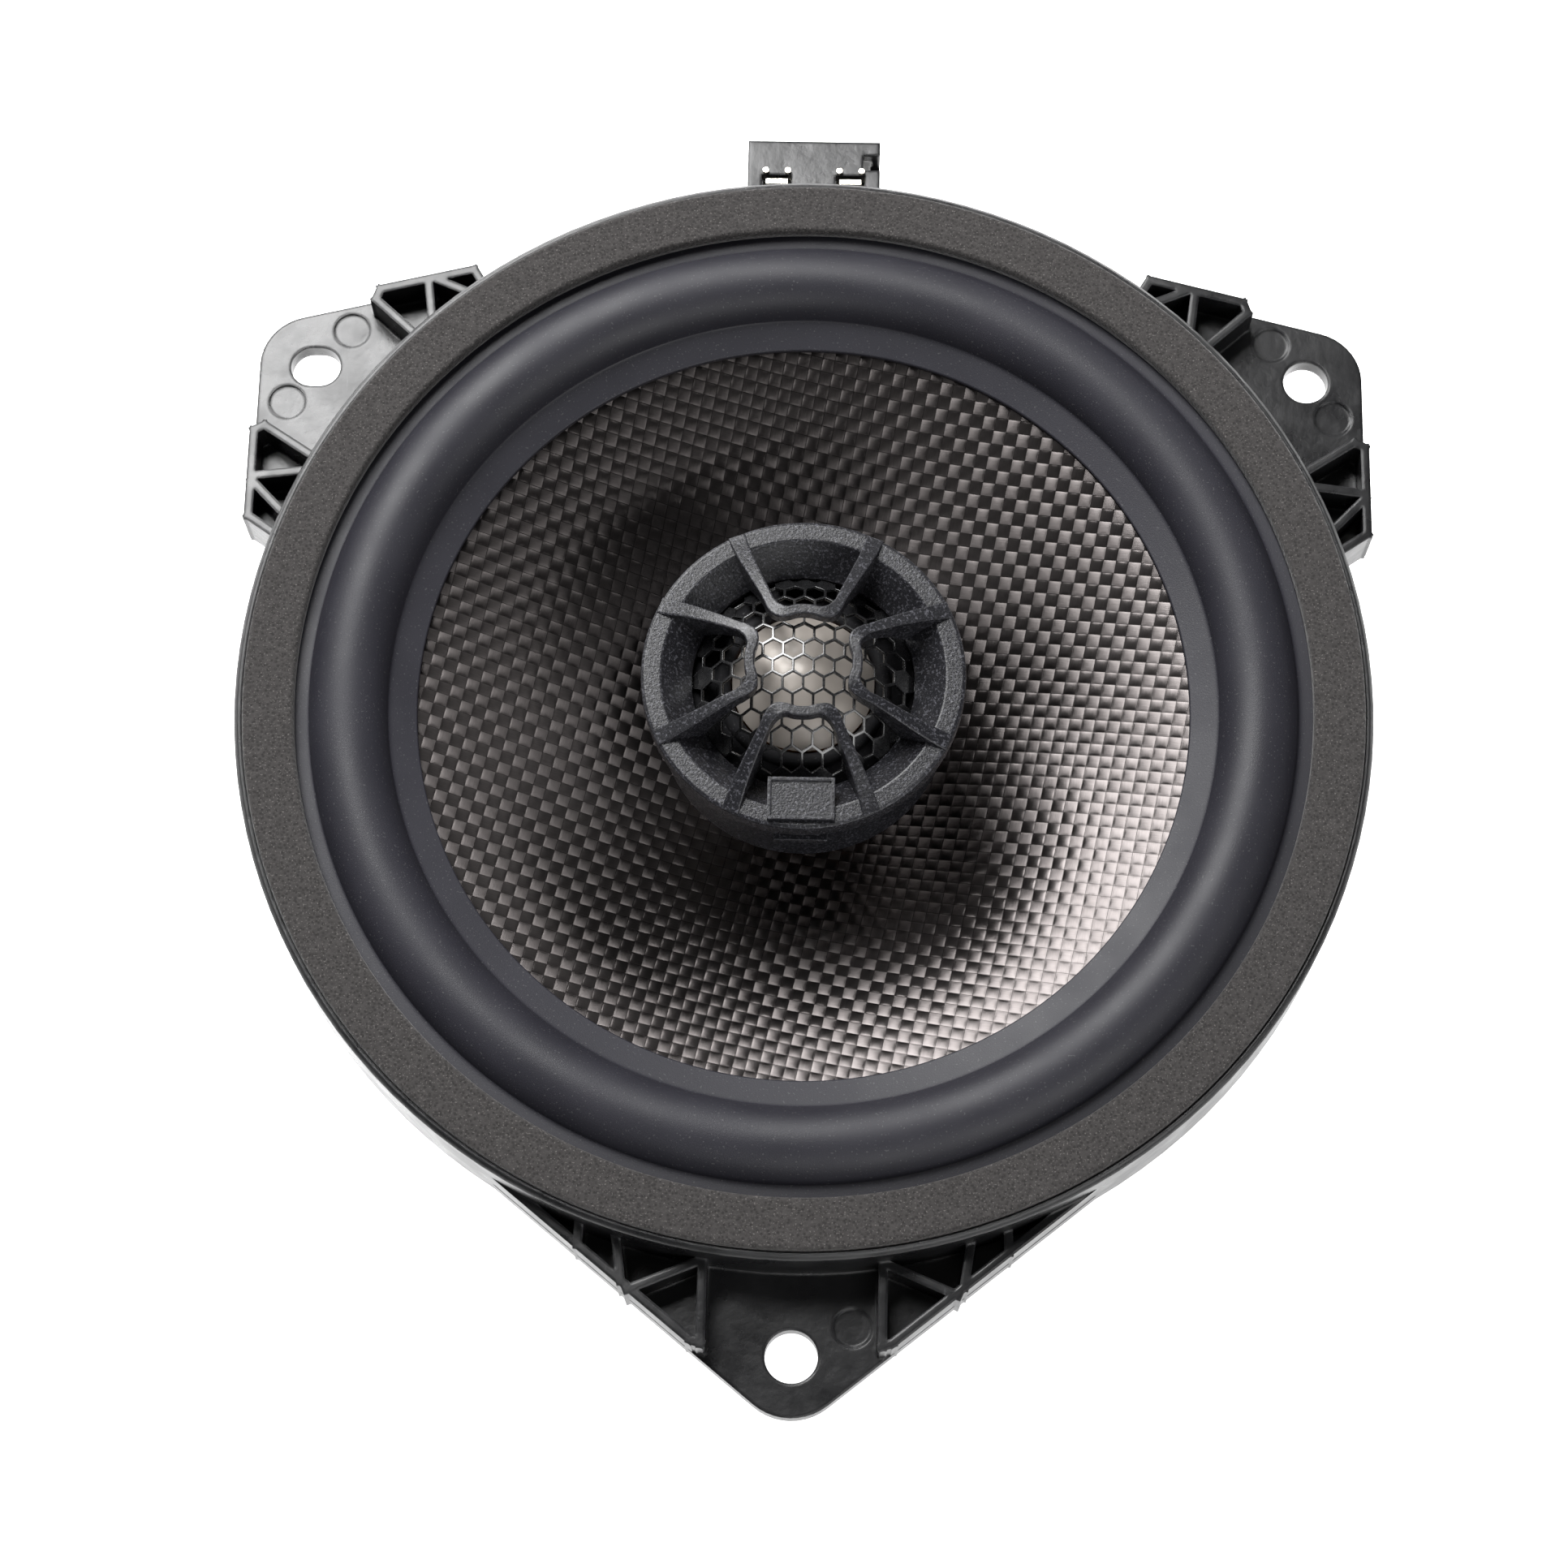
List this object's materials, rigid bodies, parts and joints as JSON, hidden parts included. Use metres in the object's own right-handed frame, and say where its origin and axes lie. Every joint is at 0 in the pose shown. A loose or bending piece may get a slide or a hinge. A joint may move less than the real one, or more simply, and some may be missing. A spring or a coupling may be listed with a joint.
{
  "type": "coaxial car speaker",
  "caption": "Coaxial car speaker: woven cone in a rubber surround, post-mounted dome tweeter under a guard, plastic basket with three mounting ears.",
  "frame": {"origin": "on the speaker axis, in the mounting plane: the rear face of the three ears", "axes": "+Z out of the front along the axis; +Y from the single lower ear towards the connector; +X to the right seen from the front"},
  "size_m": [0.1682, 0.1969, 0.0815],
  "materials": {
    "basket_plastic": "satin, glass-filled",
    "foam": "matt closed-cell foam",
    "surround_rubber": "satin",
    "woven_cone": "glossy plain weave",
    "former_film": "smooth",
    "copper_wire": "wound",
    "spider_cloth": "stiffened cloth",
    "plated_steel": "zinc plated",
    "ferrite": "ground ceramic",
    "boot_rubber": "matt",
    "screw_steel": "black zinc",
    "post_alloy": "black anodised",
    "tweeter_plastic": "fine grain",
    "mesh_steel": "gloss black",
    "dome_metal": "pearl",
    "neodymium": "nickel plated",
    "tinned_metal": "bright tin",
    "fibre_board": "phenolic paper board",
    "capacitor_sleeve": "shrink sleeve",
    "tinsel_braid": "braided",
    "wire_insulation": "smooth"
  },
  "bodies": {
    "basket_body": {"basket": "basket_plastic", "front_gasket": "foam", "surround": "surround_rubber", "spider": "spider_cloth", "top_plate": "plated_steel", "magnet": "ferrite", "back_plate": "plated_steel", "magnet_boot": "boot_rubber", "motor_screws": "screw_steel", "tweeter_post": "post_alloy", "tweeter_housing": "tweeter_plastic", "tweeter_bezel": "tweeter_plastic", "badge_plate": "tweeter_plastic", "tweeter_mesh": "mesh_steel", "tweeter_surround": "surround_rubber", "tweeter_top_plate": "plated_steel", "tweeter_magnet": "neodymium", "tweeter_yoke": "plated_steel", "connector_housing": "basket_plastic", "terminal_blades": "tinned_metal", "terminal_strip": "fibre_board", "solder_tags": "tinned_metal", "crossover_capacitor": "capacitor_sleeve", "tinsel_leads": "tinsel_braid", "feed_leads": "wire_insulation", "tweeter_leads": "wire_insulation"},
    "cone_body": {"cone": "woven_cone", "voice_coil_former": "former_film", "voice_coil_winding": "copper_wire"},
    "dome_body": {"tweeter_dome": "dome_metal", "tweeter_voice_coil": "copper_wire"}
  },
  "joints": [
    {"name": "cone_travel", "type": "slide", "parent": "basket_body", "child": "cone_body", "axis": [0, 0, 1], "range_m": [-0.004, 0.004], "stiffness_N_per_m": 1300, "deforming": ["surround", "spider", "tinsel_leads"]},
    {"name": "dome_travel", "type": "slide", "parent": "basket_body", "child": "dome_body", "axis": [0, 0, 1], "range_m": [-0.0004, 0.0004], "stiffness_N_per_m": 900, "deforming": ["tweeter_surround"]}
  ]
}
